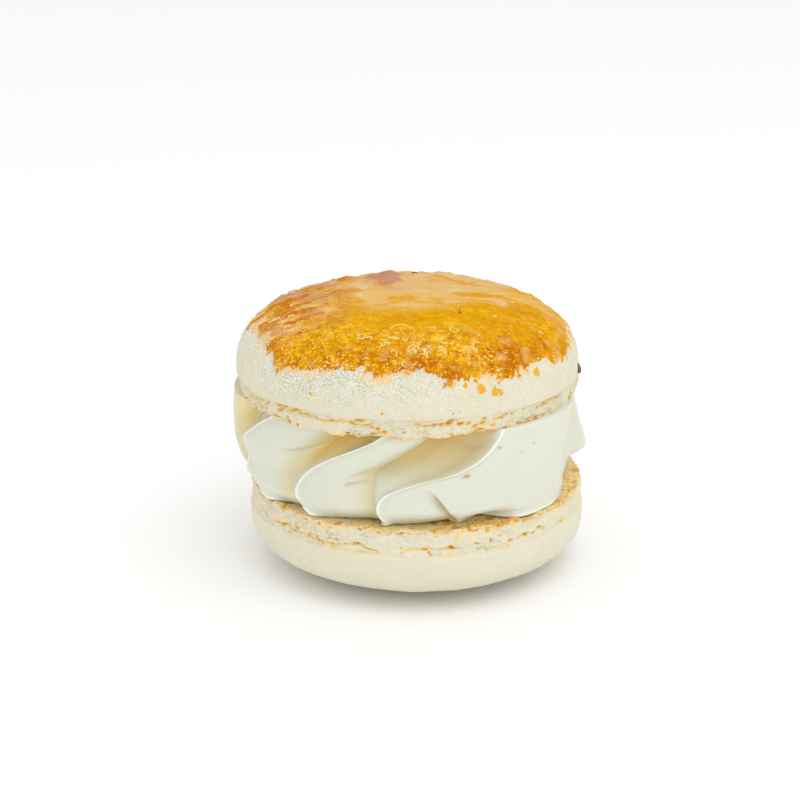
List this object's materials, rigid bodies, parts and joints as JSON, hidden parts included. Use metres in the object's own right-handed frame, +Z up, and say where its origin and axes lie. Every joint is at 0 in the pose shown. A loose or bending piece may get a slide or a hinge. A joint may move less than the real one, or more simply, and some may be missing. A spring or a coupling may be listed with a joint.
{
  "type": "french macaron",
  "caption": "Round French macaron: two almond meringue shells with ruffled feet around a tall piped cream swirl, its top crusted with torched sugar.",
  "frame": {"origin": "middle of the flat spot under the lower shell, where the macaron rests", "axes": "+Z up through both shells; -Y is the front; +X is to the right seen from the front"},
  "size_m": [0.0517, 0.0503, 0.0397],
  "materials": {
    "shell": "matte, crumbly almond meringue",
    "cream": "smooth satin cream",
    "caramel": "torched sugar, glossy"
  },
  "bodies": {
    "root": {"shell_lower": "shell", "cream_filling": "cream", "shell_upper": "caramel"}
  },
  "joints": []
}
